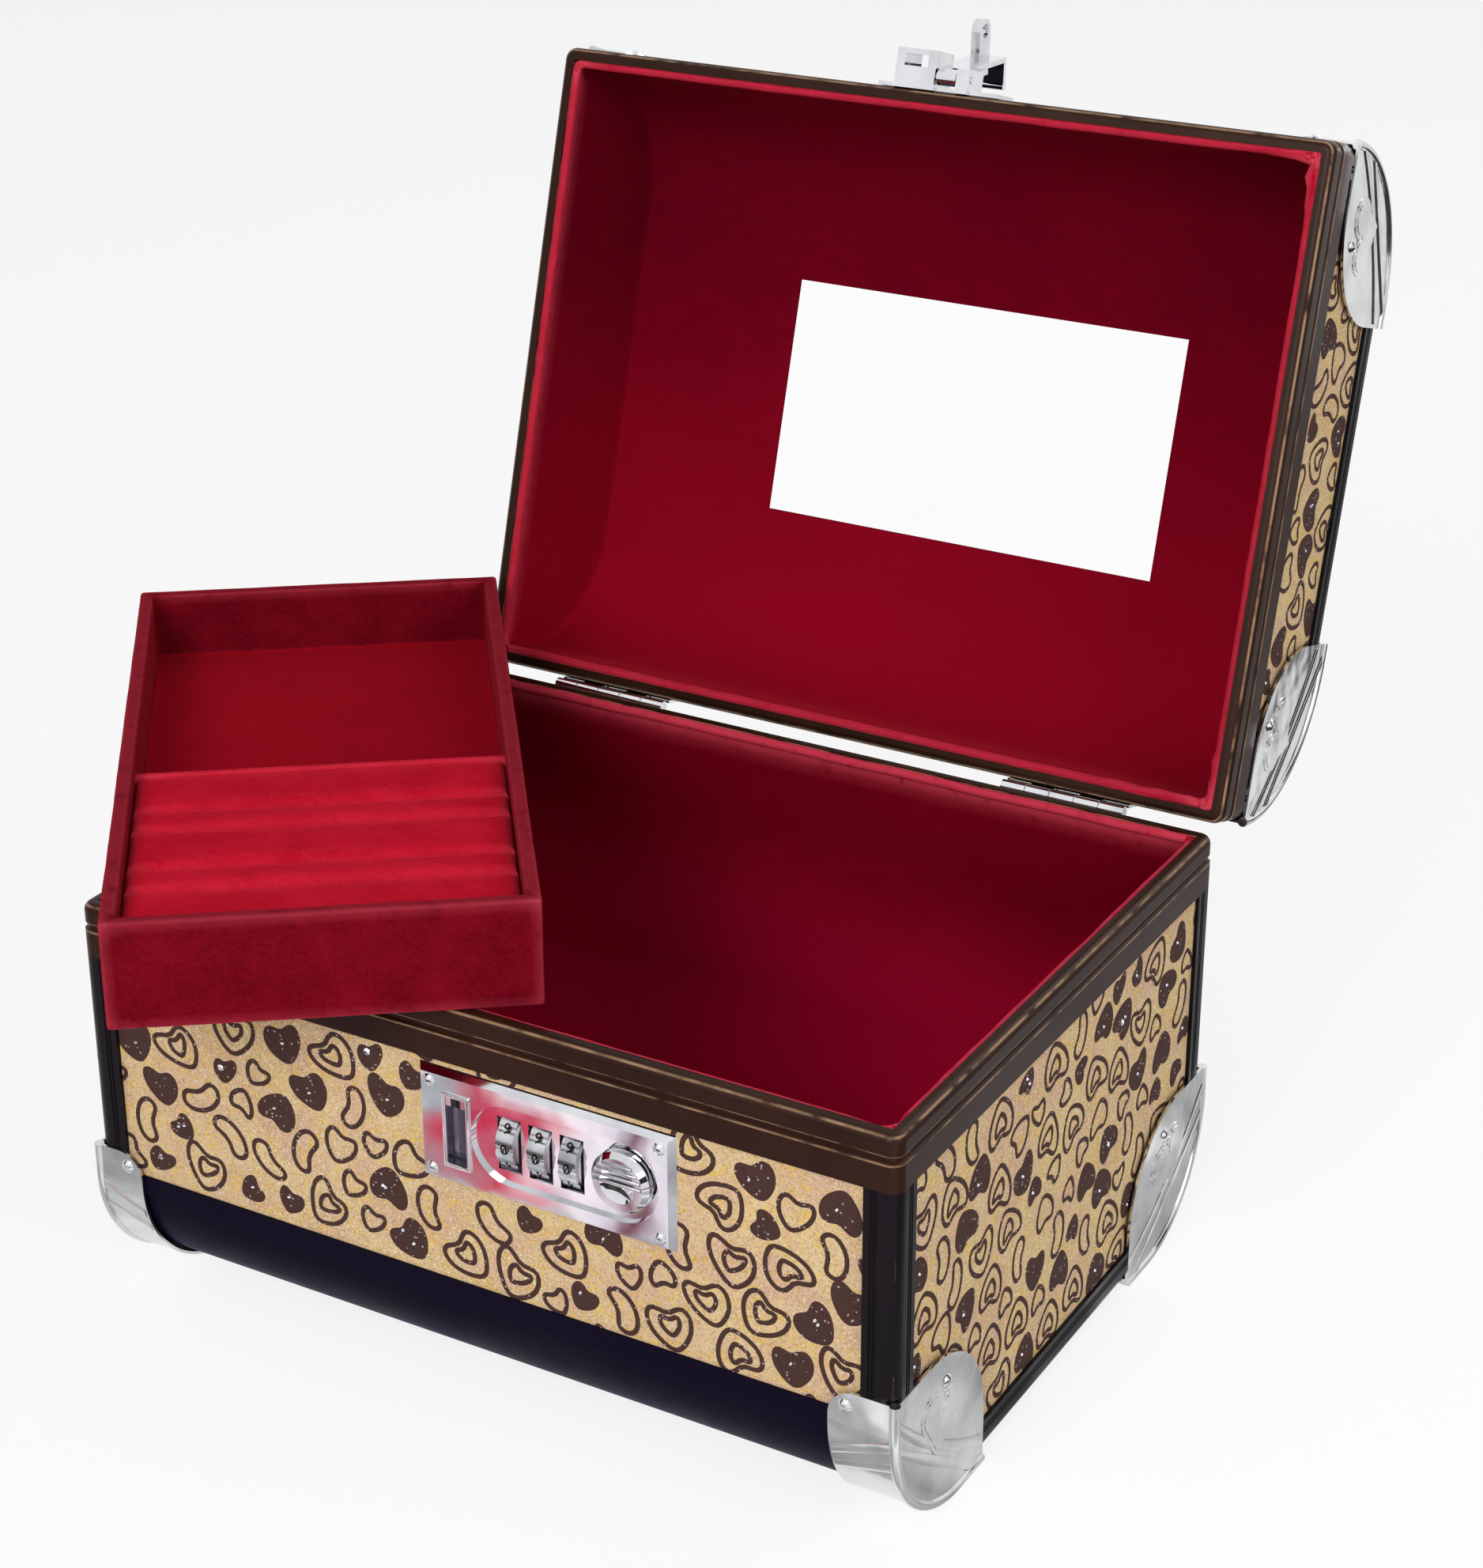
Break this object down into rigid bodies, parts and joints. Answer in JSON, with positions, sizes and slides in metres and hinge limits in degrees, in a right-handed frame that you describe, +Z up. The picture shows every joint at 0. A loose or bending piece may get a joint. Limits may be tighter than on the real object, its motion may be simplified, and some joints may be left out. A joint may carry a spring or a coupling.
{
  "type": "jewellery train case",
  "caption": "Hinged glitter-fabric jewellery train case with a rounded base and lid, mirror, lift-out velvet ring tray, dial lock, chrome corners and a carry handle.",
  "frame": {"origin": "centre of the face the case stands on, midway between its ends", "axes": "+Z up, -Y towards the front with the lock, +X to the right seen from the front"},
  "size_m": [0.3465, 0.3672, 0.3326],
  "materials": {
    "glitter_fabric": "satin",
    "dark_cover": "gloss",
    "brown_metal": "satin",
    "velvet": "matte",
    "velvet_lit": "matte",
    "mirror_glass": "polished",
    "handle_grip": "satin",
    "dial_metal": "satin",
    "chrome": "polished"
  },
  "bodies": {
    "case": {"base_front_panel": "glitter_fabric", "base_back_panel": "glitter_fabric", "base_left_end": "glitter_fabric", "base_right_end": "glitter_fabric", "base_bottom_panel": "dark_cover", "base_front_edge": "dark_cover", "base_back_edge": "dark_cover", "base_rim": "brown_metal", "base_left_trim": "brown_metal", "base_right_trim": "brown_metal", "post_front_left": "brown_metal", "post_front_right": "brown_metal", "post_back_left": "brown_metal", "post_back_right": "brown_metal", "base_guard_front_left": "chrome", "base_guard_front_right": "chrome", "base_guard_back_left": "chrome", "base_guard_back_right": "chrome", "base_lining": "velvet", "base_floor_pad": "velvet", "base_rivets": "chrome", "lock_plate": "chrome", "lock_case": "chrome", "dial_axle": "chrome", "lower_hinge_left": "chrome", "lower_hinge_right": "chrome", "hinge_pin_left": "chrome", "hinge_pin_right": "chrome"},
    "lid": {"lid_top_panel": "glitter_fabric", "lid_left_end": "glitter_fabric", "lid_right_end": "glitter_fabric", "lid_front_edge": "dark_cover", "lid_back_edge": "dark_cover", "lid_rim": "brown_metal", "lid_left_trim": "brown_metal", "lid_right_trim": "brown_metal", "lid_guard_front_left": "chrome", "lid_guard_front_right": "chrome", "lid_guard_back_left": "chrome", "lid_guard_back_right": "chrome", "lid_lining": "velvet", "lid_rivets": "chrome", "mirror": "mirror_glass", "upper_hinge_left": "chrome", "upper_hinge_right": "chrome", "handle_bracket_left": "chrome", "handle_bracket_right": "chrome", "hasp_mount": "chrome", "hasp_pin": "chrome"},
    "handle_bail": {"handle": "handle_grip"},
    "hasp": {"hasp_arm": "chrome"},
    "bolt": {"lock_knob": "chrome", "lock_bolt": "chrome"},
    "wheel_left": {"dial_left": "dial_metal"},
    "wheel_middle": {"dial_middle": "dial_metal"},
    "wheel_right": {"dial_right": "dial_metal"},
    "tray": {"tray_box": "velvet", "tray_divider": "velvet_lit", "ring_bars": "velvet_lit"}
  },
  "joints": [
    {"name": "lid_hinge", "type": "hinge", "parent": "case", "child": "lid", "pos_m": [0, 0.102, 0.1254], "axis": [1, 0, 0], "range_deg": [0, 106.5]},
    {"name": "hasp_hinge", "type": "hinge", "parent": "lid", "child": "hasp", "pos_m": [0, 0.16599, 0.32171], "axis": [1, 0, 0], "range_deg": [-9, 166]},
    {"name": "handle_swing", "type": "hinge", "parent": "lid", "child": "handle_bail", "pos_m": [0, 0.19962, 0.20286], "axis": [1, 0, 0], "range_deg": [-16, 162]},
    {"name": "lock_knob_slide", "type": "slide", "parent": "case", "child": "bolt", "axis": [1, 0, 0], "range_m": [-0.0035, 0], "stiffness_N_per_m": 200},
    {"name": "dial_left_turn", "type": "hinge", "parent": "case", "child": "wheel_left", "pos_m": [0.0142, -0.0934, 0.0908], "axis": [1, 0, 0], "continuous": true},
    {"name": "dial_middle_turn", "type": "hinge", "parent": "case", "child": "wheel_middle", "pos_m": [0.024, -0.0934, 0.0908], "axis": [1, 0, 0], "continuous": true},
    {"name": "dial_right_turn", "type": "hinge", "parent": "case", "child": "wheel_right", "pos_m": [0.0338, -0.0934, 0.0908], "axis": [1, 0, 0], "continuous": true},
    {"name": "tray_lift_away", "type": "slide", "parent": "case", "child": "tray", "axis": [-0.7886, -0.5897, 0.1739], "range_m": [0, 0.1726]}
  ],
  "couplings": [
    {"joint": "tray_lift_away", "follows": "lid_hinge", "m_per_rad": 0.09285}
  ]
}
